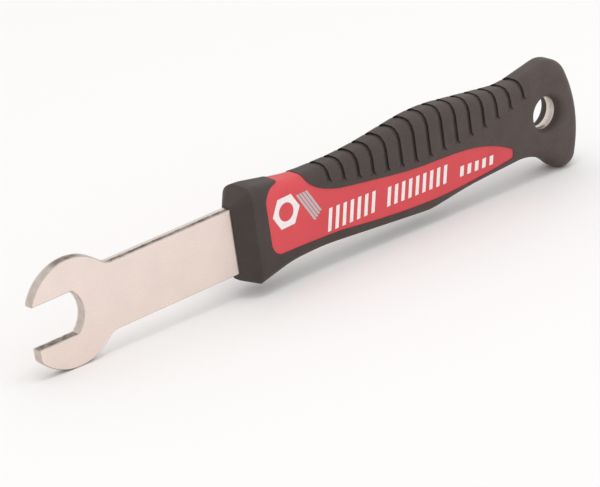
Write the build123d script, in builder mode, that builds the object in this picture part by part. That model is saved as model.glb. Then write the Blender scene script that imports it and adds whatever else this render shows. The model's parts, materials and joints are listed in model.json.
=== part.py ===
from build123d import *
from math import asin, atan2, copysign, cos, hypot, pi, radians, sin, sqrt, tan
import os

# Pedal wrench: a stamped steel plate with an open jaw at one end, its tang held in a
# hard handle core that shows as a panel through a soft overmoulded grip.
# The outline is drawn in tool coordinates: u runs from the jaw tips to the tail,
# w runs up across the blade, both in the middle plane of the plate.
# Lengths in millimetres. Places along the handle are shares of its length.

# Steel plate
plate_thickness = 4.0
blade_width = 23.5
flats_across = 15.0
flats_clearance = 0.1
jaw_flat_length = 15.7
jaw_floor_depth = 19.2
slot_corner_round = 1.0
head_centre = 14.5
head_radius = 18.7
upper_jaw_centre = (16.1, 0.9)
upper_jaw_radius = 17.8
neck_radius = 6.0
upper_tip_round = 0.9
lower_tip_round = 3.0
plate_edge_break = 0.3
shoulder_inside = 10.0
tang_width = 14.0

# Hanging hole at the tail
hang_hole_share = 0.9046
hang_hole_height = -2.0
hang_hole_diameter = 12.0
tang_end_wall = 4.0
grip_hole_clearance = 0.25
hole_rim_round = 2.6
hole_lining = 3.0

# Handle outline, seen from the side: straight runs between corners. Each corner has its
# place as a share of the length, its height, and the share of the shorter run beside it
# that its round takes.
handle_start = 82.0
handle_length = 155.1
outline_top = (
    (0.0613, 17.3, 0.167), (0.1902, 14.1, 0.288), (0.3385, 13.8, 0.479),
    (0.5545, 18.3, 0.295), (0.8085, 13.1, 0.229))
outline_tail = (
    (0.9645, 17.7, 0.287), (1.0168, -5.5, 0.635), (0.9613, -30.5, 0.487),
    (0.8711, -15.1, 0.472))
outline_bottom = (
    (0.6576, -16.5, 0.328), (0.5384, -18.8, 0.175), (0.2334, -14.4, 0.387),
    (0.1341, -14.5, 0.304))
bolster_top = 17.3
bolster_bottom = -17.9

# Nose in front of the bolster
nose_length = 7.0
nose_top = 12.2
nose_bottom = -14.2
nose_half = 2.6
nose_full_share = 0.71
nose_end_top = 17.4
nose_end_bottom = -17.2
nose_corner_round = 1.8
nose_edge_round = 0.6

# Handle thickness, seen from above
bolster_half = 8.0
grip_half = 6.2
flare_length = 37.0
long_edge_round = 4.5

# Soft grip over the core
grip_wall = 2.6
core_front_wall = 6.0
panel_recess = 0.25

# Window in the grip that shows the panel
window_front = ((0.0716, 8.0), (0.0748, 12.5), (0.0935, 14.9), (0.1225, 15.5), (0.1547, 17.5))
window_low_corner = (0.0722, -8.6)
window_low_round = 5.0
window_low = ((0.2721, -10.2), (0.4616, -13.5), (0.5822, -14.2), (0.7827, -11.9))
window_tip_round = 1.2
window_high = (
    (0.7853, -8.9), (0.6873, -2.6), (0.5055, -0.2), (0.3314, 3.5), (0.2244, 8.0),
    (0.1954, 12.0), (0.1973, 17.0))

# Grooves across the top of the grip
groove_count = 15
first_groove = 0.2534
groove_pitch = 0.04133
groove_depth = 0.9
groove_half_width = 0.75
groove_lowest_share = 0.5545
groove_lowest = 2.8
groove_rise = 74.6
groove_foot = 1.6
groove_run_out = 1.2
groove_crest_lift = 0.35
groove_turns = 3

jaw_opening = flats_across + flats_clearance
half_blade = blade_width / 2
half_plate = plate_thickness / 2
hang_hole_radius = hang_hole_diameter / 2
grip_hole_radius = hang_hole_radius + grip_hole_clearance
far = 2 * (handle_start + handle_length)


def placed(points):
    """Points given by shares of the handle's length, in tool coordinates."""
    return [(handle_start + point[0] * handle_length, *point[1:]) for point in points]


def round_centre(before, corner, after):
    """Centre of the round of a corner between two others."""
    back = Vector(before[0] - corner[0], before[1] - corner[1]).normalized()
    ahead = Vector(after[0] - corner[0], after[1] - corner[1]).normalized()
    middle = (back + ahead).normalized()
    reach = corner[2] / middle.cross(back).length
    return (corner[0] + middle.X * reach, corner[1] + middle.Y * reach)


def rounded(points):
    """Corners with the radius of each round, worked out from its share of a run."""
    found = [points[0]]
    for before, corner, after in zip(points, points[1:], points[2:]):
        run_in = Vector(corner[0] - before[0], corner[1] - before[1])
        run_out = Vector(after[0] - corner[0], after[1] - corner[1])
        reach = corner[2] * min(run_in.length, run_out.length)
        half_turn = radians(run_in.get_angle(run_out)) / 2
        found.append((corner[0], corner[1], reach / tan(half_turn)))
    return [*found, points[-1]]


corners = rounded(placed((
    (0, bolster_top, 0), *outline_top, *outline_tail, *outline_bottom,
    (0, bolster_bottom, 0))))
corner_trios = list(zip(corners, corners[1:], corners[2:]))
end_trio, lobe_trio = corner_trios[len(outline_top):][1:3]
end_centre = round_centre(*end_trio)
lobe_centre = round_centre(*lobe_trio)
end_radius = end_trio[1][2]
lobe_radius = lobe_trio[1][2]
hang_hole_centre = placed(((hang_hole_share, hang_hole_height),))[0]

# The wrench stands on the rounds of its lower jaw and of the lobe at its tail. The
# line that touches both gives its tilt and the height of the drawing's zero point.
round_distance = hypot(lobe_centre[0] - head_centre, lobe_centre[1])
round_slope = atan2(lobe_centre[1], lobe_centre[0] - head_centre)
tilt = asin((lobe_radius - head_radius) / round_distance) - round_slope
upper_tip = upper_jaw_centre[1] + sqrt(upper_jaw_radius**2 - upper_jaw_centre[0]**2)
left_end = -upper_tip * sin(tilt)
right_end = end_centre[0] * cos(tilt) - end_centre[1] * sin(tilt) + end_radius

zero = (-(left_end + right_end) / 2, 0, head_radius - head_centre * sin(tilt))
along = (cos(tilt), 0, sin(tilt))
up = (-sin(tilt), 0, cos(tilt))
side = Plane(origin=zero, x_dir=along, z_dir=(0, -1, 0))
top = Plane(origin=zero, x_dir=along, z_dir=up)
tool_axis = Axis(zero, along)
up_axis = Axis(zero, up)


def drawn_in(inset):
    """Corners of the outline drawn in by an inset, each with the radius of its round."""
    inner = [(corners[0][0], bolster_top - inset, 0)]
    for before, corner, after in corner_trios:
        centre = round_centre(before, corner, after)
        run_in = Vector(corner[0] - before[0], corner[1] - before[1])
        run_out = Vector(after[0] - corner[0], after[1] - corner[1])
        left = copysign(inset, run_in.cross(run_out).Z)
        share = 1 + left / corner[2]
        inner.append((
            centre[0] + (corner[0] - centre[0]) * share,
            centre[1] + (corner[1] - centre[1]) * share, corner[2] + left))
    return [*inner, (corners[-1][0], bolster_bottom + inset, 0)]


def across(u):
    """Plane square to the tool at station u: its x runs across, its y runs up."""
    return Plane(origin=side.from_local_coords((u, 0, 0)), x_dir=(0, 1, 0), z_dir=along)


def handle_body(inset, edge_round):
    """Solid handle, drawn in by an inset, with its long edges rounded."""
    with BuildPart() as body:
        with BuildSketch(side) as outline:
            inner = drawn_in(inset)
            Polygon(*[corner[:2] for corner in inner], align=None)
            for corner in inner[1:-1]:
                vertex = outline.vertices().sort_by_distance(corner[:2])[0]
                fillet(vertex, radius=corner[2])
        extrude(amount=2 * bolster_half, both=True)
        with BuildSketch(top):
            flare_end = handle_start + flare_length
            flare = bolster_half - grip_half
            flare_run = flare_length - nose_length
            flare_radius = (flare_run**2 + flare**2) / (2 * flare)
            with BuildLine():
                for hand in (1, -1):
                    flank = hand * (grip_half - inset)
                    front_half = flare_radius - sqrt(flare_radius**2 - flare_length**2)
                    Line((far, flank), (flare_end, flank))
                    RadiusArc(
                        (flare_end, flank), (handle_start, flank + hand * front_half),
                        hand * flare_radius)
                    Line((handle_start, flank + hand * front_half), (handle_start, 0))
                Line((far, -(grip_half - inset)), (far, grip_half - inset))
            make_face()
        extrude(amount=far, both=True, mode=Mode.INTERSECT)
        if edge_round > 0:
            long_edges = body.edges().filter_by(
                lambda edge: abs(edge.center().Y) > grip_half - inset - 0.5)
            fillet(long_edges - body.edges().filter_by(up_axis), radius=edge_round)
        if inset > 0:
            split(bisect_by=across(handle_start + core_front_wall), keep=Keep.TOP)
    return body.part


blank_solid = handle_body(0, long_edge_round)

# Sloping nose in front of the bolster, then the whole handle without its details
nose_end = handle_start + nose_length
with BuildPart() as nose:
    with BuildSketch(across(handle_start)):
        with Locations((0, (nose_top + nose_bottom) / 2)):
            RectangleRounded(2 * nose_half, nose_top - nose_bottom, nose_corner_round)
    with BuildSketch(across(nose_end)):
        nose_reach = nose_half + (bolster_half - nose_half) / nose_full_share
        with Locations((0, (nose_end_top + nose_end_bottom) / 2)):
            RectangleRounded(
                2 * nose_reach, nose_end_top - nose_end_bottom, long_edge_round)
    loft()
    add(blank_solid, mode=Mode.INTERSECT)
with BuildPart() as blank:
    add(blank_solid)
    split(bisect_by=across(nose_end), keep=Keep.TOP)
    add(nose.part)

# Prism of the window, right through the handle
with BuildPart() as window:
    with BuildSketch(side) as window_face:
        with BuildLine():
            low_corner = placed((window_low_corner,))[0]
            front_line = Spline(*placed(window_front), tangents=((0, 1), (1, 0.3)))
            high_line = Spline(*placed(window_high))
            low_line = Spline(*placed(window_low))
            Line(low_corner, front_line @ 0)
            Line(front_line @ 1, high_line @ 1)
            Line(high_line @ 0, low_line @ 1)
            Line(low_line @ 0, low_corner)
        make_face()
        corner = window_face.vertices().sort_by_distance(low_corner)[0]
        fillet(corner, radius=window_low_round)
        tip_corners = window_face.vertices().sort_by(Axis.X)[-2:]
        fillet(tip_corners, radius=window_tip_round)
    extrude(amount=2 * bolster_half, both=True)

# Outline of the plate: jaw, blade, tang and the ring around its hanging hole
lower_tip = sqrt(head_radius**2 - head_centre**2)
upper_neck = upper_jaw_centre[0] + sqrt(
    upper_jaw_radius**2 - (half_blade - upper_jaw_centre[1])**2)
lower_neck = head_centre + sqrt(head_radius**2 - half_blade**2)
blade_end = handle_start + shoulder_inside
with BuildPart() as wrench_plate:
    with BuildSketch(side) as plate_face:
        with BuildLine():
            ThreePointArc(
                (0, upper_tip),
                (upper_jaw_centre[0], upper_jaw_centre[1] + upper_jaw_radius),
                (upper_neck, half_blade))
            Polyline(
                (upper_neck, half_blade), (blade_end, half_blade),
                (blade_end, -half_blade), (lower_neck, -half_blade))
            ThreePointArc(
                (lower_neck, -half_blade), (head_centre, -head_radius), (0, -lower_tip))
            Line((0, -lower_tip), (0, upper_tip))
        make_face()
        necks = (
            plate_face.vertices().sort_by_distance((upper_neck, half_blade))[0],
            plate_face.vertices().sort_by_distance((lower_neck, -half_blade))[0])
        fillet(necks, radius=neck_radius)
        with BuildLine():
            ThreePointArc(
                (jaw_flat_length, -jaw_opening / 2), (jaw_floor_depth, 0),
                (jaw_flat_length, jaw_opening / 2))
            Polyline(
                (jaw_flat_length, jaw_opening / 2), (-head_radius, jaw_opening / 2),
                (-head_radius, -jaw_opening / 2), (jaw_flat_length, -jaw_opening / 2))
        make_face(mode=Mode.SUBTRACT)
        slot_corners = (
            plate_face.vertices().sort_by_distance((jaw_flat_length, jaw_opening / 2))[0],
            plate_face.vertices().sort_by_distance((jaw_flat_length, -jaw_opening / 2))[0])
        fillet(slot_corners, radius=slot_corner_round)
        lower_corner = plate_face.vertices().sort_by_distance((0, -lower_tip))[0]
        fillet(lower_corner, radius=lower_tip_round)
        upper_corner = plate_face.vertices().sort_by_distance((0, upper_tip))[0]
        fillet(upper_corner, radius=upper_tip_round)
        tang_length = hang_hole_centre[0] - blade_end
        with Locations((blade_end + tang_length / 2, hang_hole_centre[1])):
            Rectangle(tang_length, tang_width)
        with Locations(hang_hole_centre):
            Circle(hang_hole_radius + tang_end_wall)
            Circle(hang_hole_radius, mode=Mode.SUBTRACT)
    extrude(amount=half_plate, both=True)
    broad_sides = wrench_plate.faces().filter_by(GeomType.PLANE).sort_by(Axis.Y)
    chamfer(broad_sides[0].edges() + broad_sides[-1].edges(), length=plate_edge_break)

# Hard core, with the panel that fills the window
with BuildPart() as handle_core:
    add(handle_body(panel_recess, long_edge_round - panel_recess))
    add(window.part, mode=Mode.INTERSECT)
    add(handle_body(grip_wall, 0))
    add(wrench_plate.part, mode=Mode.SUBTRACT)
    with BuildSketch(side):
        with Locations(hang_hole_centre):
            Circle(grip_hole_radius + hole_lining)
    extrude(amount=bolster_half, both=True, mode=Mode.SUBTRACT)


def groove_path(share):
    """Wire of straight runs across the handle at that share, out of it at both ends."""
    u = handle_start + share * handle_length
    low = groove_lowest + groove_rise * (share - groove_lowest_share)**2
    column = Edge.make_line(side.from_local_coords((u, 0, 0)), side.from_local_coords((u, far, 0)))
    crest = column.intersect(blank_solid).edges()[0].length
    bend = long_edge_round
    lift = asin((max(low, crest - bend) - crest + bend) / bend)
    reach = grip_half - bend * (1 - cos(lift))
    flank = [(reach + groove_run_out, low - groove_foot), (reach, low)]
    first_turn = 0 if low < crest - bend else 1
    for turn in range(first_turn, groove_turns + 1):
        angle = lift + (pi / 2 - lift) * turn / groove_turns
        height = crest + groove_crest_lift * sin(angle) - bend * (1 - sin(angle))
        flank.append((grip_half - bend * (1 - cos(angle)), height))
    with BuildLine(across(u)) as run:
        Polyline(*flank, *[(-reach, height) for reach, height in reversed(flank)])
    return run.wire()


# Cutters of the grooves, each swept along its own path
groove_mouth = 2 * groove_half_width
groove_cutters = []
for index in range(groove_count):
    path = groove_path(first_groove + index * groove_pitch)
    with BuildPart() as cutter:
        with BuildSketch(Plane(origin=path @ 0, x_dir=along, z_dir=path % 0)):
            with BuildLine():
                Polyline(
                    (-groove_mouth, -groove_depth), (0, groove_depth),
                    (groove_mouth, -groove_depth), close=True)
            make_face()
        sweep(path=path, transition=Transition.RIGHT)
    groove_cutters.append(cutter.part)

# Soft grip around the core
with BuildPart() as grip:
    add(blank.part)
    nose_edges = grip.faces().sort_by(tool_axis)[0].edges()
    fillet(nose_edges, radius=nose_edge_round)
    with BuildSketch(side):
        with Locations(hang_hole_centre):
            Circle(grip_hole_radius)
    extrude(amount=2 * bolster_half, both=True, mode=Mode.SUBTRACT)
    hole_centre = side.from_local_coords((*hang_hole_centre, 0))
    hole_wall = grip.faces().filter_by(GeomType.CYLINDER).sort_by_distance(hole_centre)[0]
    rims = [edge for edge in hole_wall.edges() if edge.geom_type != GeomType.LINE]
    fillet(rims, radius=hole_rim_round)
    add(groove_cutters, mode=Mode.SUBTRACT)
    add(window.part, mode=Mode.SUBTRACT)
    add(handle_core.part, mode=Mode.SUBTRACT)
    add(wrench_plate.part, mode=Mode.SUBTRACT)

os.makedirs("parts", exist_ok=True)
wrench_plate.part.label = "wrench_plate"
handle_core.part.label = "handle_core"
grip.part.label = "grip"
export_step(wrench_plate.part, "parts/wrench_plate.step")
export_step(handle_core.part, "parts/handle_core.step")
export_step(grip.part, "parts/grip.step")
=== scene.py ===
"""Looks of a pedal wrench: satin steel plate, red moulded core, black grip and print."""

import json
from math import cos, pi, radians, sin

import bmesh
import bpy
from bpy.props import (
    FloatProperty, FloatVectorProperty, IntProperty, PointerProperty)
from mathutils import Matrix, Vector
from mathutils.bvhtree import BVHTree


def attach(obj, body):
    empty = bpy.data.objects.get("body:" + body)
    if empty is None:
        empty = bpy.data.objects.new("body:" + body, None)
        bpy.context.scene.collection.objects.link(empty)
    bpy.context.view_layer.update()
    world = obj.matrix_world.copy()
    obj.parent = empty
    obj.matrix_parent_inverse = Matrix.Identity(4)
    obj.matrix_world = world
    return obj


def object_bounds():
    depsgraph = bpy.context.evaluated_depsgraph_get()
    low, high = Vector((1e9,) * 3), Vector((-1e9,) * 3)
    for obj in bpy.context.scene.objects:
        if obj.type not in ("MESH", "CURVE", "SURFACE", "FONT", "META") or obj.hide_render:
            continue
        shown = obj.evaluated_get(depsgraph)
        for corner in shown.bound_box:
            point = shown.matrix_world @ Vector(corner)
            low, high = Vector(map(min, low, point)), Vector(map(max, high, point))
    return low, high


bl_info = {
    "name": "Pedal Wrench",
    "version": (1, 0, 0),
    "blender": (4, 5, 0),
    "location": "View3D > Sidebar > Wrench",
    "description": "Finishes the solids of a pedal wrench and sets its stage",
    "category": "Object",
}

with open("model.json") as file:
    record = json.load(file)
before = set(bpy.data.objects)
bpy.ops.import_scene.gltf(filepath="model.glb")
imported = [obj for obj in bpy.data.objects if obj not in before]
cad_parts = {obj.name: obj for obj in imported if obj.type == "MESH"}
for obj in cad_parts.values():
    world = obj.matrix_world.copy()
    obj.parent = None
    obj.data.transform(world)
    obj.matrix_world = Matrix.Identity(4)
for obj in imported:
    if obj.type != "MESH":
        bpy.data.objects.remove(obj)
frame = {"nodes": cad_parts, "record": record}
cad_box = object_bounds()

MM = 0.001
MOUNTS = {mount["name"]: mount for mount in frame["record"]["mounts"]}
# The jaw's mount gives the tool's own axes; it lies this far behind the jaw tips
JAW_DEPTH = 7.8 * MM
ALONG = -Vector(MOUNTS["jaw"]["axis"]).normalized()
UP = Vector((-ALONG.z, 0, ALONG.x))
ZERO = Vector(MOUNTS["jaw"]["pos_m"]) - ALONG * JAW_DEPTH
# How far out the lines start that find the panel's surface from the side
PANEL_REACH = 30 * MM
SIDES = {"front": -1, "back": 1}
# The badge's hexagon: its middle in tool coordinates, its corners, points of each ring
NUT_PLACE = (101.5 * MM, 4.9 * MM)
NUT_SIDES = 6
NUT_PARTS = 48
# Noise lies mostly between these two values
NOISE_LOW, NOISE_HIGH = 0.3, 0.7
# Floor, softbox and camera: sizes and places in metres and turns in degrees
FLOOR_HALF = 4.0
FLOOR_GAP = 0.05 * MM
SOFTBOX_SIZE = (0.6, 0.32)
SOFTBOX_PLACE = (0.0, -0.2, 1.2)
CAMERA_PLACE = (-0.65007, -0.8581, 0.4349)
CAMERA_TURN = (68.2273, 6.465, -39.3776)
CLIP_START = 0.05
# In millimetres, as the lens is
SENSOR_WIDTH = 36


def linear(code):
    """Linear colour of an sRGB hex value."""
    parts = [int(code[place:place + 2], 16) / 255 for place in (0, 2, 4)]
    return tuple(
        part / 12.92 if part <= 0.04045 else ((part + 0.055) / 1.055) ** 2.4
        for part in parts)


def colour(name, description, code):
    """Colour property with an sRGB hex default."""
    return FloatVectorProperty(
        name=name, description=description, default=linear(code), subtype="COLOR",
        size=3, min=0, max=1)


def length(name, description, millimetres):
    """Length property with its default in millimetres."""
    return FloatProperty(
        name=name, description=description, default=millimetres * MM, unit="LENGTH",
        min=0, precision=5)


class WrenchFinish(bpy.types.PropertyGroup):
    face: colour("Steel face", "Tumbled broad sides of the plate", "EFE0D8")
    burnish: colour("Steel edge", "Sheared, burnished band of the cut edges", "DDD2CB")
    fracture: colour("Steel break", "Broken, darker band of the cut edges", "5E4D44")
    panel: colour("Panel", "Moulded core", "DB5258")
    grip: colour("Grip", "Overmoulded rubber", "4C423F")
    ink: colour("White ink", "Pad-printed marks", "F8F3F1")
    grey_ink: colour("Grey ink", "Pad-printed stripes of the badge", "C2BCBE")
    steel_grain: length("Steel grain", "Size of the tumbled texture's grain", 0.5)
    rubber_grain: length("Rubber grain", "Size of the mould's spark-eroded grain", 0.45)


class WrenchPrint(bpy.types.PropertyGroup):
    slant: FloatProperty(
        name="Slant", description="Sideways lean of the marks per unit of height",
        default=0.24)
    stripe_lean: FloatProperty(
        name="Stripe lean", description="Backward lean of the badge's stripes",
        default=0.56)
    ink_depth: length("Ink depth", "How far the ink stands off the panel", 0.05)
    bar_stroke: length("Bar stroke", "Width of a bar of the long rows", 1.5)
    bar_pitch: length("Bar pitch", "Step between bars of the long rows", 3.25)
    nut_radius: length("Nut radius", "Corner radius of the badge's hexagon", 6.2)
    nut_bore: length("Nut bore", "Radius of the hole in the hexagon", 3.3)


class WrenchStage(bpy.types.PropertyGroup):
    floor: colour("Floor", "Seamless paper", "FBFAFA")
    room: colour("Room light", "Light from all round", "FFFEFD")
    fill: FloatProperty(
        name="Fill", description="Strength of the light from all round", default=0.92)
    lean: FloatProperty(
        name="Lean", description="Share by which the fill is stronger beyond the tail",
        default=0.4, min=0, max=1)
    key: FloatProperty(
        name="Key", description="Power of the softbox above", default=1.85, unit="POWER")
    lens: FloatProperty(
        name="Lens", description="Focal length on a 36 mm sensor", default=204.0,
        unit="CAMERA")


def add(tree, kind, inputs=None, **settings):
    """Add a node with its settings; inputs take values or the outputs of other nodes."""
    made = tree.nodes.new(kind)
    for name, value in settings.items():
        setattr(made, name, value)
    for name, value in (inputs or {}).items():
        socket = made.inputs[name]
        if isinstance(value, bpy.types.NodeSocket):
            tree.links.new(value, socket)
        else:
            socket.default_value = value
    return made


def new_material(name, roughness, metallic=0.0):
    """Empty material with its shader's plain values set."""
    material = bpy.data.materials.new(name)
    material.use_nodes = True
    shader = material.node_tree.nodes["Principled BSDF"]
    shader.inputs["Metallic"].default_value = metallic
    shader.inputs["Roughness"].default_value = roughness
    return material, material.node_tree, shader


def rgba(value):
    """Opaque colour for a node's socket."""
    return (*value, 1)


def cut_edge(tree, finish, place, normal, streak):
    """Colour of the plate's cut edges.

    Next to the front the steel broke rough and dark, and behind that the punch sheared
    it bright. The break runs deeper round the jaw than along the blade. Tumbling rubs it
    bright in patches. On top of that the break is painted darker on the flats that face up
    or down than on the rounds, as painted shade and reflection."""
    jaw_end, blade_start = ZERO.x + 22 * MM, ZERO.x + 32 * MM
    at = add(tree, "ShaderNodeSeparateXYZ", {"Vector": place}).outputs
    reach = add(tree, "ShaderNodeMapRange", {
        "Value": at["X"], "From Min": jaw_end, "From Max": blade_start,
        "To Min": -1.9 * MM, "To Max": -0.7 * MM})
    waver = add(tree, "ShaderNodeMath", {
        0: streak, 1: 1.4 * MM, 2: at["Y"]}, operation="MULTIPLY_ADD")
    depth = add(tree, "ShaderNodeMath", {
        0: waver.outputs["Value"], 1: reach.outputs["Result"]}, operation="ADD")
    broken = add(tree, "ShaderNodeMapRange", {
        "Value": depth.outputs["Value"], "From Min": -0.2 * MM, "From Max": 0.3 * MM,
        "To Min": 1.0, "To Max": 0.0})
    patch = add(tree, "ShaderNodeTexNoise", {
        "Vector": place, "Scale": 1 / (2.5 * MM), "Detail": 3.0})
    kept = add(tree, "ShaderNodeMapRange", {
        "Value": patch.outputs["Fac"], "From Min": 0.4, "From Max": 0.6,
        "To Min": 0.72, "To Max": 1.0})
    # Painted shade and reflection: flats that face up or down keep the full dark break,
    # rounds get less of it
    level = add(tree, "ShaderNodeMath", {0: normal["Z"]}, operation="ABSOLUTE")
    flat = add(tree, "ShaderNodeMapRange", {
        "Value": level.outputs["Value"], "From Min": 0.93, "From Max": 0.99,
        "To Min": 0.32, "To Max": 1.0})
    rubbed_and_painted_shade = add(tree, "ShaderNodeMath", {
        0: kept.outputs["Result"], 1: flat.outputs["Result"]}, operation="MULTIPLY")
    dark = add(tree, "ShaderNodeMath", {
        0: broken.outputs["Result"], 1: rubbed_and_painted_shade.outputs["Value"]}, operation="MULTIPLY")
    cut = add(tree, "ShaderNodeMix", {
        "Factor": dark.outputs["Value"]}, data_type="RGBA")
    cut.inputs[6].default_value = rgba(finish.burnish)
    cut.inputs[7].default_value = rgba(finish.fracture)
    return cut.outputs[2]


def tumbled_steel(finish):
    """Stamped steel plate, tumbled to a satin and nickel plated.

    The broad sides have a fine, even, slightly warm grain. The cut edges have a smooth
    bright band where the punch sheared them and a rough darker one where they broke. The
    real grain is under 0.1 mm and is drawn as coarse as it needs to show."""
    material, tree, shader = new_material("tumbled_nickel_steel", 0.34, metallic=1.0)
    given = add(tree, "ShaderNodeTexCoord").outputs
    place = given["Object"]
    grain = add(tree, "ShaderNodeTexNoise", {
        "Vector": place, "Scale": 1 / finish.steel_grain, "Detail": 3.0,
        "Roughness": 0.6})
    cloud = add(tree, "ShaderNodeTexNoise", {
        "Vector": place, "Scale": 1 / (9 * MM), "Detail": 2.0})
    shade = add(tree, "ShaderNodeMapRange", {
        "Value": grain.outputs["Fac"], "From Min": NOISE_LOW, "From Max": NOISE_HIGH,
        "To Min": 0.93, "To Max": 1.05})
    drift = add(tree, "ShaderNodeMapRange", {
        "Value": cloud.outputs["Fac"], "From Min": NOISE_LOW, "From Max": NOISE_HIGH,
        "To Min": 0.98, "To Max": 1.02})
    tone = add(tree, "ShaderNodeMath", {
        0: shade.outputs["Result"], 1: drift.outputs["Result"]}, operation="MULTIPLY")
    # Share of the edge: 0 on the broad sides and 1 on what faces along the plate
    normal = add(tree, "ShaderNodeSeparateXYZ", {"Vector": given["Normal"]}).outputs
    flatness = add(tree, "ShaderNodeMath", {0: normal["Y"]}, operation="ABSOLUTE")
    edge = add(tree, "ShaderNodeMapRange", {
        "Value": flatness.outputs["Value"], "From Min": 0.9, "From Max": 0.8,
        "To Min": 0.0, "To Max": 1.0})
    # Streaks across the edge, drawn out through the plate's thickness
    drawn = add(tree, "ShaderNodeMapping", {"Vector": place, "Scale": (1.0, 0.12, 1.0)})
    streak = add(tree, "ShaderNodeTexNoise", {
        "Vector": drawn.outputs["Vector"], "Scale": 1 / (0.5 * MM), "Detail": 3.0})
    skin = add(tree, "ShaderNodeMix", {
        "Factor": edge.outputs["Result"]}, data_type="RGBA")
    skin.inputs[6].default_value = rgba(finish.face)
    cut = cut_edge(tree, finish, place, normal, streak.outputs["Fac"])
    tree.links.new(cut, skin.inputs[7])
    toned = add(tree, "ShaderNodeVectorMath", {
        0: skin.outputs[2], "Scale": tone.outputs["Value"]}, operation="SCALE")
    tree.links.new(toned.outputs["Vector"], shader.inputs["Base Color"])
    rough = add(tree, "ShaderNodeMapRange", {
        "Value": grain.outputs["Fac"], "From Min": NOISE_LOW, "From Max": NOISE_HIGH,
        "To Min": 0.42, "To Max": 0.3})
    tree.links.new(rough.outputs["Result"], shader.inputs["Roughness"])
    relief = add(tree, "ShaderNodeMix", {
        "Factor": edge.outputs["Result"]}, data_type="FLOAT")
    tree.links.new(grain.outputs["Fac"], relief.inputs[2])
    tree.links.new(streak.outputs["Fac"], relief.inputs[3])
    bump = add(tree, "ShaderNodeBump", {
        "Height": relief.outputs[0], "Strength": 0.25, "Distance": 0.03 * MM})
    tree.links.new(bump.outputs["Normal"], shader.inputs["Normal"])
    return material


def moulded_abs(finish):
    """Injection-moulded ABS with a soft gloss.

    A faint orange peel from the mould breaks up the sheen, and the colour drifts a
    little. The finest speck is drawn as coarse as it needs to show."""
    material, tree, shader = new_material("moulded_red_abs", 0.5)
    shader.inputs["Specular IOR Level"].default_value = 0.22
    place = add(tree, "ShaderNodeTexCoord").outputs["Object"]
    peel = add(tree, "ShaderNodeTexNoise", {
        "Vector": place, "Scale": 1 / (1.1 * MM), "Detail": 2.0})
    speck = add(tree, "ShaderNodeTexNoise", {
        "Vector": place, "Scale": 1 / (0.35 * MM), "Detail": 2.0})
    drift = add(tree, "ShaderNodeTexNoise", {
        "Vector": place, "Scale": 1 / (14 * MM), "Detail": 2.0})
    base = Vector(finish.panel)
    ramp = add(tree, "ShaderNodeMix", {
        "Factor": drift.outputs["Fac"]}, data_type="RGBA")
    ramp.inputs[6].default_value = rgba(base * 0.9)
    ramp.inputs[7].default_value = rgba(base * 1.1)
    tone = add(tree, "ShaderNodeMapRange", {
        "Value": speck.outputs["Fac"], "From Min": NOISE_LOW, "From Max": NOISE_HIGH,
        "To Min": 0.95, "To Max": 1.05})
    toned = add(tree, "ShaderNodeVectorMath", {
        0: ramp.outputs[2], "Scale": tone.outputs["Result"]}, operation="SCALE")
    tree.links.new(toned.outputs["Vector"], shader.inputs["Base Color"])
    rough = add(tree, "ShaderNodeMapRange", {
        "Value": speck.outputs["Fac"], "From Min": NOISE_LOW, "From Max": NOISE_HIGH,
        "To Min": 0.44, "To Max": 0.56})
    tree.links.new(rough.outputs["Result"], shader.inputs["Roughness"])
    bump = add(tree, "ShaderNodeBump", {
        "Height": peel.outputs["Fac"], "Strength": 0.25, "Distance": 0.04 * MM})
    tree.links.new(bump.outputs["Normal"], shader.inputs["Normal"])
    return material


def moulded_rubber(finish):
    """Thermoplastic rubber overmould with a spark-eroded mould grain.

    The grain makes it matt and slightly mottled, with a paler bloom in patches. The real
    grain is about 0.1 mm and is drawn as coarse as it needs to show."""
    material, tree, shader = new_material("moulded_black_rubber", 0.6)
    shader.inputs["Specular IOR Level"].default_value = 0.3
    place = add(tree, "ShaderNodeTexCoord").outputs["Object"]
    grain = add(tree, "ShaderNodeTexNoise", {
        "Vector": place, "Scale": 1 / finish.rubber_grain, "Detail": 3.0,
        "Roughness": 0.65})
    bloom = add(tree, "ShaderNodeTexNoise", {
        "Vector": place, "Scale": 1 / (6 * MM), "Detail": 3.0})
    base = Vector(finish.grip)
    ramp = add(tree, "ShaderNodeMix", {
        "Factor": bloom.outputs["Fac"]}, data_type="RGBA")
    ramp.inputs[6].default_value = rgba(base * 0.82)
    ramp.inputs[7].default_value = rgba(base * 1.2)
    tone = add(tree, "ShaderNodeMapRange", {
        "Value": grain.outputs["Fac"], "From Min": NOISE_LOW, "From Max": NOISE_HIGH,
        "To Min": 0.82, "To Max": 1.2})
    # Painted light: the rubber is painted darker at the bolster and paler towards the
    # tail, where more light falls on it
    bolster, tail = ZERO.x + 85 * MM, ZERO.x + 230 * MM
    reach = add(tree, "ShaderNodeSeparateXYZ", {"Vector": place})
    painted_light_to_tail = add(tree, "ShaderNodeMapRange", {
        "Value": reach.outputs["X"], "From Min": bolster, "From Max": tail,
        "To Min": 0.8, "To Max": 1.24})
    shade = add(tree, "ShaderNodeMath", {
        0: tone.outputs["Result"], 1: painted_light_to_tail.outputs["Result"]}, operation="MULTIPLY")
    toned = add(tree, "ShaderNodeVectorMath", {
        0: ramp.outputs[2], "Scale": shade.outputs["Value"]}, operation="SCALE")
    tree.links.new(toned.outputs["Vector"], shader.inputs["Base Color"])
    rough = add(tree, "ShaderNodeMapRange", {
        "Value": grain.outputs["Fac"], "From Min": NOISE_LOW, "From Max": NOISE_HIGH,
        "To Min": 0.5, "To Max": 0.68})
    tree.links.new(rough.outputs["Result"], shader.inputs["Roughness"])
    bump = add(tree, "ShaderNodeBump", {
        "Height": grain.outputs["Fac"], "Strength": 0.5, "Distance": 0.06 * MM})
    tree.links.new(bump.outputs["Normal"], shader.inputs["Normal"])
    return material


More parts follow.
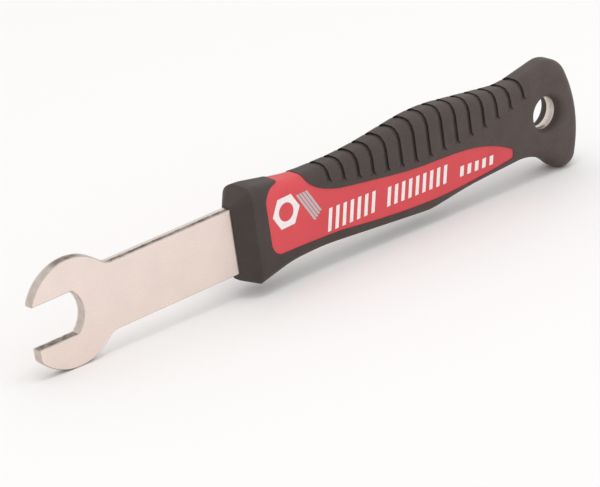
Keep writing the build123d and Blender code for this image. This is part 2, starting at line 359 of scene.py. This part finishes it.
def printed_ink(name, tint):
    """Pad-printed ink.

    The layer is thin, so the colour is a little uneven where the pad gave less."""
    material, tree, shader = new_material(name, 0.45)
    place = add(tree, "ShaderNodeTexCoord").outputs["Object"]
    cover = add(tree, "ShaderNodeTexNoise", {
        "Vector": place, "Scale": 1 / (0.8 * MM), "Detail": 3.0})
    base = Vector(tint)
    ramp = add(tree, "ShaderNodeMix", {
        "Factor": cover.outputs["Fac"]}, data_type="RGBA")
    ramp.inputs[6].default_value = rgba(base * 0.86)
    ramp.inputs[7].default_value = rgba([min(part * 1.08, 1) for part in base])
    tree.links.new(ramp.outputs[2], shader.inputs["Base Color"])
    bump = add(tree, "ShaderNodeBump", {
        "Height": cover.outputs["Fac"], "Strength": 0.2, "Distance": 0.02 * MM})
    tree.links.new(bump.outputs["Normal"], shader.inputs["Normal"])
    return material


def finish_node(name, material):
    """Give a solid of the frame its material."""
    solid = frame["nodes"][name]
    for slot in solid.material_slots:
        slot.material = material


def world_place(tree, x, y, start):
    """World place of a point in tool coordinates, held off the panel's side."""
    along = add(tree, "ShaderNodeVectorMath", {0: ALONG, "Scale": x}, operation="SCALE")
    up = add(tree, "ShaderNodeVectorMath", {0: UP, "Scale": y}, operation="SCALE")
    flat = add(tree, "ShaderNodeVectorMath", {
        0: along.outputs["Vector"], 1: up.outputs["Vector"]}, operation="ADD")
    base = add(tree, "ShaderNodeCombineXYZ", {"X": ZERO.x, "Y": start, "Z": ZERO.z})
    return add(tree, "ShaderNodeVectorMath", {
        0: flat.outputs["Vector"], 1: base.outputs["Vector"]}, operation="ADD")


def row_tree():
    """Node tree of a slanted row of bars laid on the panel.

    Bars stand side by side between two lines. Each is a thin closed slab whose points
    are dropped on the panel's surface, and its third coordinate is the ink's depth."""
    tree = bpy.data.node_groups.new("Row of bars", "GeometryNodeTree")
    tree.interface.new_socket("Bars", in_out="OUTPUT", socket_type="NodeSocketGeometry")
    kinds = {
        "Count": "NodeSocketInt", "Start": "NodeSocketFloat", "Pitch": "NodeSocketFloat",
        "Stroke": "NodeSocketFloat", "Low": "NodeSocketFloat",
        "Low Rise": "NodeSocketFloat", "Height": "NodeSocketFloat",
        "Height Gain": "NodeSocketFloat", "Slant": "NodeSocketFloat",
        "Depth": "NodeSocketFloat", "Side": "NodeSocketFloat",
        "Panel": "NodeSocketObject", "Ink": "NodeSocketMaterial"}
    for name, kind in kinds.items():
        tree.interface.new_socket(name, in_out="INPUT", socket_type=kind)
    given = add(tree, "NodeGroupInput").outputs
    index = add(tree, "GeometryNodeInputIndex").outputs["Index"]
    step = add(tree, "ShaderNodeCombineXYZ", {"X": given["Pitch"]})
    first = add(tree, "ShaderNodeCombineXYZ", {"X": given["Start"]})
    feet = add(tree, "GeometryNodeMeshLine", {
        "Count": given["Count"], "Start Location": first.outputs["Vector"],
        "Offset": step.outputs["Vector"]}, mode="OFFSET")
    low = add(tree, "ShaderNodeMath", {
        0: index, 1: given["Low Rise"], 2: given["Low"]}, operation="MULTIPLY_ADD")
    height = add(tree, "ShaderNodeMath", {
        0: index, 1: given["Height Gain"], 2: given["Height"]},
        operation="MULTIPLY_ADD")
    middle = add(tree, "ShaderNodeMath", {
        0: height.outputs["Value"], 1: 0.5, 2: low.outputs["Value"]},
        operation="MULTIPLY_ADD")
    raised = add(tree, "GeometryNodeSetPosition", {
        "Geometry": feet.outputs["Mesh"],
        "Offset": add(tree, "ShaderNodeCombineXYZ", {
            "Y": middle.outputs["Value"]}).outputs["Vector"]})
    size = add(tree, "ShaderNodeCombineXYZ", {
        "X": given["Stroke"], "Y": 1.0, "Z": given["Depth"]})
    slab = add(tree, "GeometryNodeMeshCube", {
        "Size": size.outputs["Vector"], "Vertices X": 3, "Vertices Y": 7,
        "Vertices Z": 2})
    placed = add(tree, "GeometryNodeInstanceOnPoints", {
        "Points": raised.outputs["Geometry"], "Instance": slab.outputs["Mesh"],
        "Scale": add(tree, "ShaderNodeCombineXYZ", {
            "X": 1.0, "Y": height.outputs["Value"], "Z": 1.0}).outputs["Vector"]})
    real = add(tree, "GeometryNodeRealizeInstances", {
        "Geometry": placed.outputs["Instances"]})
    at = add(tree, "ShaderNodeSeparateXYZ", {
        "Vector": add(tree, "GeometryNodeInputPosition").outputs["Position"]}).outputs
    leant = add(tree, "ShaderNodeMath", {
        0: at["Y"], 1: given["Slant"], 2: at["X"]}, operation="MULTIPLY_ADD")
    away = add(tree, "ShaderNodeMath", {
        0: given["Side"], 1: PANEL_REACH}, operation="MULTIPLY")
    source = world_place(tree, leant.outputs["Value"], at["Y"], away.outputs["Value"])
    inward = add(tree, "ShaderNodeMath", {0: given["Side"], 1: -1.0}, operation="MULTIPLY")
    target = add(tree, "GeometryNodeObjectInfo", {
        "Object": given["Panel"]}, transform_space="RELATIVE")
    hit = add(tree, "GeometryNodeRaycast", {
        "Target Geometry": target.outputs["Geometry"],
        "Source Position": source.outputs["Vector"],
        "Ray Direction": add(tree, "ShaderNodeCombineXYZ", {
            "Y": inward.outputs["Value"]}).outputs["Vector"],
        "Ray Length": PANEL_REACH})
    proud = add(tree, "ShaderNodeMath", {
        0: at["Z"], 1: given["Side"]}, operation="MULTIPLY")
    laid = add(tree, "ShaderNodeVectorMath", {
        0: hit.outputs["Hit Position"],
        1: add(tree, "ShaderNodeCombineXYZ", {
            "Y": proud.outputs["Value"]}).outputs["Vector"]}, operation="ADD")
    pressed = add(tree, "GeometryNodeSetPosition", {
        "Geometry": real.outputs["Geometry"], "Position": laid.outputs["Vector"]})
    inked = add(tree, "GeometryNodeSetMaterial", {
        "Geometry": pressed.outputs["Geometry"], "Material": given["Ink"]})
    add(tree, "NodeGroupOutput", {"Bars": inked.outputs["Geometry"]})
    return tree


def face_outward(mesh):
    """Turn the faces of a closed mesh outward."""
    form = bmesh.new()
    form.from_mesh(mesh)
    bmesh.ops.recalc_face_normals(form, faces=form.faces)
    form.to_mesh(mesh)
    form.free()


def keep_print(piece):
    """Put a finished print on the wrench's one body."""
    face_outward(piece.data)
    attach(piece, "root")


def print_row(tree, name, ink, values):
    """Lay one row of bars on both sides of the panel."""
    settings = bpy.context.scene.wrench_print
    identifiers = {
        item.name: item.identifier for item in tree.interface.items_tree
        if item.in_out == "INPUT"}
    for side, sign in SIDES.items():
        piece = bpy.data.objects.new(f"{name}_{side}", bpy.data.meshes.new(name))
        bpy.context.scene.collection.objects.link(piece)
        modifier = piece.modifiers.new("Row", "NODES")
        modifier.node_group = tree
        given = {
            "Slant": settings.slant, "Depth": 2 * settings.ink_depth,
            "Side": float(sign), "Panel": frame["nodes"]["handle_core"], "Ink": ink,
            **values}
        for label, value in given.items():
            modifier[identifiers[label]] = value
        shaped = piece.evaluated_get(bpy.context.evaluated_depsgraph_get())
        mesh = bpy.data.meshes.new_from_object(shaped)
        piece.modifiers.clear()
        piece.data = mesh
        if not mesh.vertices:
            raise RuntimeError(f"{name} came out empty")
        keep_print(piece)


class WRENCH_OT_finish_plate(bpy.types.Operator):
    """Give the stamped plate its tumbled steel"""

    bl_idname = "wrench.finish_plate"
    bl_label = "Finish plate"

    def execute(self, context):
        finish_node("wrench_plate", tumbled_steel(context.scene.wrench_finish))
        return {"FINISHED"}


class WRENCH_OT_finish_core(bpy.types.Operator):
    """Give the handle core and its panel their red plastic"""

    bl_idname = "wrench.finish_core"
    bl_label = "Finish core"

    def execute(self, context):
        finish_node("handle_core", moulded_abs(context.scene.wrench_finish))
        return {"FINISHED"}


class WRENCH_OT_finish_grip(bpy.types.Operator):
    """Give the soft grip its grained rubber"""

    bl_idname = "wrench.finish_grip"
    bl_label = "Finish grip"

    def execute(self, context):
        finish_node("grip", moulded_rubber(context.scene.wrench_finish))
        return {"FINISHED"}


def nut_ring(panel, sign, inner, lift):
    """Ring of points on the panel, with inner 0 on the nut's outline and 1 on its bore."""
    settings = bpy.context.scene.wrench_print
    sector = 2 * pi / NUT_SIDES
    points = []
    for part in range(NUT_PARTS):
        turn = 2 * pi * part / NUT_PARTS
        corner = (turn + sector / 2) % sector - sector / 2
        outer = settings.nut_radius * cos(sector / 2) / cos(corner)
        reach = outer + (settings.nut_bore - outer) * inner
        across = NUT_PLACE[0] + reach * cos(turn + sector / 2)
        high = NUT_PLACE[1] + reach * sin(turn + sector / 2)
        start = ZERO + ALONG * across + UP * high
        start.y = sign * PANEL_REACH
        place = panel.ray_cast(start, Vector((0, -sign, 0)))[0]
        if place is None:
            raise RuntimeError("the badge misses the panel")
        place.y += sign * lift * settings.ink_depth
        points.append(place)
    return points


class WRENCH_OT_print_badge(bpy.types.Operator):
    """Print a plain hexagon nut on the front end of the panel"""

    bl_idname = "wrench.print_badge"
    bl_label = "Print badge"

    def execute(self, context):
        ink = printed_ink("pad_printed_white_ink", context.scene.wrench_finish.ink)
        panel = BVHTree.FromObject(
            frame["nodes"]["handle_core"], context.evaluated_depsgraph_get())
        for side, sign in SIDES.items():
            form = bmesh.new()
            # The ink's section: up at the outline, in over the top, down at the bore, back
            section = ((0, -1), (0, 1), (0.5, 1), (1, 1), (1, -1), (0.5, -1))
            loop = [
                [form.verts.new(point) for point in nut_ring(panel, sign, *corner)]
                for corner in section]
            for one, other in zip(loop, (*loop[1:], loop[0])):
                for part in range(NUT_PARTS):
                    after = (part + 1) % NUT_PARTS
                    form.faces.new((one[part], one[after], other[after], other[part]))
            mesh = bpy.data.meshes.new("nut_print")
            form.to_mesh(mesh)
            form.free()
            mesh.materials.append(ink)
            piece = bpy.data.objects.new(f"nut_print_{side}", mesh)
            context.scene.collection.objects.link(piece)
            keep_print(piece)
        return {"FINISHED"}


class WRENCH_OT_print_rows(bpy.types.Operator):
    """Print the badge's grey stripes, two long rows of bars and the short dashes"""

    bl_idname = "wrench.print_rows"
    bl_label = "Print rows"

    def execute(self, context):
        finish = context.scene.wrench_finish
        settings = context.scene.wrench_print
        tree = row_tree()
        white = printed_ink("pad_printed_white_rows", finish.ink)
        grey = printed_ink("pad_printed_grey_rows", finish.grey_ink)
        print_row(tree, "stripe_print", grey, {
            "Count": 4, "Start": 112.2 * MM, "Pitch": 1.35 * MM, "Stroke": 1.0 * MM,
            "Low": -2.4 * MM, "Low Rise": 0.75 * MM, "Height": 11.3 * MM,
            "Height Gain": -0.75 * MM, "Slant": -settings.stripe_lean})
        print_row(tree, "first_bar_print", white, {
            "Count": 7, "Start": 120.9 * MM, "Pitch": settings.bar_pitch,
            "Stroke": settings.bar_stroke, "Low": -8.8 * MM, "Low Rise": -0.05 * MM,
            "Height": 8.0 * MM, "Height Gain": -0.1 * MM})
        print_row(tree, "second_bar_print", white, {
            "Count": 9, "Start": 147.6 * MM, "Pitch": settings.bar_pitch,
            "Stroke": settings.bar_stroke, "Low": -9.3 * MM, "Low Rise": -0.12 * MM,
            "Height": 6.7 * MM, "Height Gain": -0.02 * MM})
        print_row(tree, "dash_print", white, {
            "Count": 5, "Start": 181.6 * MM, "Pitch": 3.5 * MM, "Stroke": 1.7 * MM,
            "Low": -10.3 * MM, "Low Rise": -0.15 * MM, "Height": 3.6 * MM,
            "Height Gain": -0.1 * MM})
        return {"FINISHED"}


class WRENCH_OT_set_stage(bpy.types.Operator):
    """Lay the paper floor and set the camera and the soft lights"""

    bl_idname = "wrench.set_stage"
    bl_label = "Set stage"

    def execute(self, context):
        scene = context.scene
        settings = scene.wrench_stage
        # Seamless paper, matt and even, so only the wrench's shadow marks it
        paper, tree, shader = new_material("matt_paper", 0.9)
        shader.inputs["Base Color"].default_value = rgba(settings.floor)
        shader.inputs["Specular IOR Level"].default_value = 0.0
        corners = [
            (x * FLOOR_HALF, y * FLOOR_HALF, 0)
            for x, y in ((-1, -1), (1, -1), (1, 1), (-1, 1))]
        mesh = bpy.data.meshes.new("floor")
        mesh.from_pydata(corners, [], [range(len(corners))])
        mesh.materials.append(paper)
        floor = bpy.data.objects.new("floor", mesh)
        floor.location.z = cad_box[0][2] - FLOOR_GAP
        scene.collection.objects.link(floor)

        world = bpy.data.worlds.new("studio")
        world.use_nodes = True
        scene.world = world
        tree = world.node_tree
        sky = tree.nodes["Background"]
        sky.inputs["Color"].default_value = rgba(settings.room)
        path = add(tree, "ShaderNodeLightPath").outputs
        seen = add(tree, "ShaderNodeMath", {
            0: path["Is Camera Ray"], 1: path["Is Glossy Ray"]}, operation="MAXIMUM")
        clear = add(tree, "ShaderNodeMath", {
            0: seen.outputs["Value"], 1: path["Is Transmission Ray"]},
            operation="MAXIMUM")
        # The room is brighter on the tail's side, so what faces the jaw end is dimmer
        heading = add(tree, "ShaderNodeSeparateXYZ", {
            "Vector": add(tree, "ShaderNodeTexCoord").outputs["Generated"]})
        leaned = add(tree, "ShaderNodeMapRange", {
            "Value": heading.outputs["X"], "From Min": -1.0, "From Max": 1.0,
            "To Min": settings.fill * (1 - settings.lean),
            "To Max": settings.fill * (1 + settings.lean)})
        strength = add(tree, "ShaderNodeMapRange", {
            "Value": clear.outputs["Value"], "To Min": leaned.outputs["Result"],
            "To Max": 1.0})
        tree.links.new(strength.outputs["Result"], sky.inputs["Strength"])

        lamp = bpy.data.lights.new("softbox", "AREA")
        lamp.shape = "RECTANGLE"
        lamp.size, lamp.size_y = SOFTBOX_SIZE
        lamp.energy = settings.key
        softbox = bpy.data.objects.new("softbox", lamp)
        softbox.location = SOFTBOX_PLACE
        aim = -softbox.location
        softbox.rotation_euler = aim.to_track_quat("-Z", "Y").to_euler()
        scene.collection.objects.link(softbox)

        lens = bpy.data.cameras.new("camera")
        lens.lens = settings.lens
        lens.sensor_width = SENSOR_WIDTH
        lens.clip_start = CLIP_START
        camera = bpy.data.objects.new("camera", lens)
        camera.location = CAMERA_PLACE
        camera.rotation_euler = [radians(turn) for turn in CAMERA_TURN]
        scene.collection.objects.link(camera)
        scene.camera = camera
        scene.view_settings.view_transform = "Standard"
        return {"FINISHED"}


STEPS = (
    WRENCH_OT_finish_plate, WRENCH_OT_finish_core, WRENCH_OT_finish_grip,
    WRENCH_OT_print_badge, WRENCH_OT_print_rows, WRENCH_OT_set_stage)


class WRENCH_PT_panel(bpy.types.Panel):
    """Settings and steps of the pedal wrench"""

    bl_idname = "WRENCH_PT_panel"
    bl_label = "Pedal wrench"
    bl_space_type = "VIEW_3D"
    bl_region_type = "UI"
    bl_category = "Wrench"

    def draw(self, context):
        for name in GROUPS:
            group = getattr(context.scene, name)
            box = self.layout.box()
            for field in group.bl_rna.properties:
                if not field.is_readonly and field.identifier != "name":
                    box.prop(group, field.identifier)
        for step in STEPS:
            self.layout.operator(step.bl_idname)


GROUPS = {
    "wrench_finish": WrenchFinish, "wrench_print": WrenchPrint,
    "wrench_stage": WrenchStage}


def register():
    for group in GROUPS.values():
        bpy.utils.register_class(group)
    for name, group in GROUPS.items():
        setattr(bpy.types.Scene, name, PointerProperty(type=group))
    for step in (*STEPS, WRENCH_PT_panel):
        bpy.utils.register_class(step)


def unregister():
    for step in reversed((*STEPS, WRENCH_PT_panel)):
        bpy.utils.unregister_class(step)
    for name, group in GROUPS.items():
        delattr(bpy.types.Scene, name)
        bpy.utils.unregister_class(group)


def main():
    register()
    steps = bpy.ops.wrench
    steps.finish_plate()
    steps.finish_core()
    steps.finish_grip()
    steps.print_badge()
    steps.print_rows()
    steps.set_stage()


if __name__ == "__main__":
    main()
